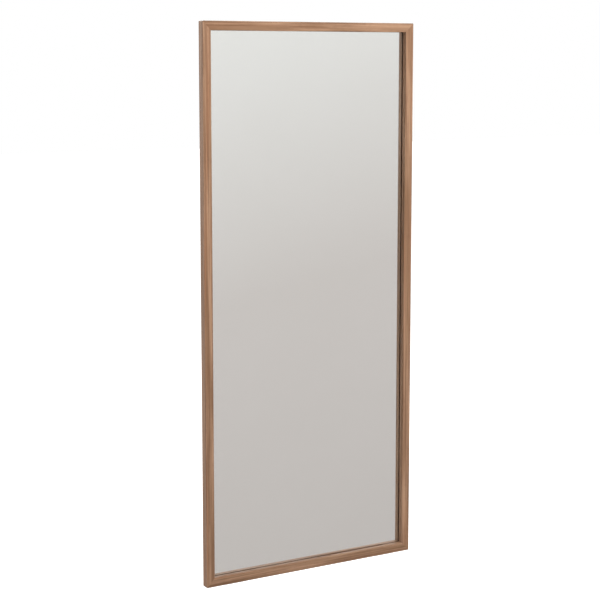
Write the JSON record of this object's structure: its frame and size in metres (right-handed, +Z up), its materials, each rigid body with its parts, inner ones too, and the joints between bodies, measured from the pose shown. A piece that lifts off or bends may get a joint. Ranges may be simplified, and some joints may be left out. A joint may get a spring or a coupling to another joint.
{
  "type": "framed floor mirror",
  "caption": "Tall slim rectangular mirror in a mitred wood box frame with a deep-set pane, closed back, rubber feet, wall buffers and swinging D-ring hangers.",
  "frame": {"origin": "middle of the outline's base: midway between the sides and between front and buffers, at the feet's undersides", "axes": "+Z up, the mirror faces -Y, +X to the right of someone who faces the mirror"},
  "size_m": [0.7, 0.0286, 1.601],
  "materials": {
    "frame_wood": "satin",
    "tenon_wood": "matte",
    "clear_glass": "polished",
    "silver_coat": "polished",
    "film": "satin",
    "hardboard": "matte",
    "packing_rubber": "matte",
    "foam_tape": "matte",
    "clip_steel": "satin",
    "hanger_steel": "satin",
    "ring_steel": "polished",
    "screw_steel": "satin",
    "buffer_rubber": "matte"
  },
  "bodies": {
    "frame": {"backing_board": "hardboard", "board_clips_bottom": "clip_steel", "board_clips_left": "clip_steel", "board_clips_right": "clip_steel", "board_clips_top": "clip_steel", "clip_screws_bottom": "screw_steel", "clip_screws_left": "screw_steel", "clip_screws_right": "screw_steel", "clip_screws_top": "screw_steel", "corner_tenon_bottom_left": "tenon_wood", "corner_tenon_bottom_right": "tenon_wood", "corner_tenon_top_left": "tenon_wood", "corner_tenon_top_right": "tenon_wood", "edge_spacer_left_lower": "packing_rubber", "edge_spacer_left_upper": "packing_rubber", "edge_spacer_right_lower": "packing_rubber", "edge_spacer_right_upper": "packing_rubber", "edge_spacer_top_left": "packing_rubber", "edge_spacer_top_right": "packing_rubber", "glazing_tape_bottom": "foam_tape", "glazing_tape_left": "foam_tape", "glazing_tape_right": "foam_tape", "glazing_tape_top": "foam_tape", "hanger_plate_left": "hanger_steel", "hanger_plate_right": "hanger_steel", "hanger_screws_left": "screw_steel", "hanger_screws_right": "screw_steel", "heel_foot_left": "buffer_rubber", "heel_foot_right": "buffer_rubber", "mirror_glass": "clear_glass", "rail_bottom": "frame_wood", "rail_top": "frame_wood", "safety_film": "film", "setting_block_left": "packing_rubber", "setting_block_right": "packing_rubber", "silvering": "silver_coat", "stile_left": "frame_wood", "stile_right": "frame_wood", "wall_bumper_left": "buffer_rubber", "wall_bumper_right": "buffer_rubber"},
    "ring_left": {"hanger_ring_left": "ring_steel"},
    "ring_right": {"hanger_ring_right": "ring_steel"}
  },
  "joints": [
    {"name": "ring_left_swing", "type": "hinge", "parent": "frame", "child": "ring_left", "pos_m": [-0.3405, 0.01085, 1.331], "axis": [1, 0, 0], "range_deg": [0, 180]},
    {"name": "ring_right_swing", "type": "hinge", "parent": "frame", "child": "ring_right", "pos_m": [0.3405, 0.01085, 1.331], "axis": [1, 0, 0], "range_deg": [0, 180]}
  ]
}
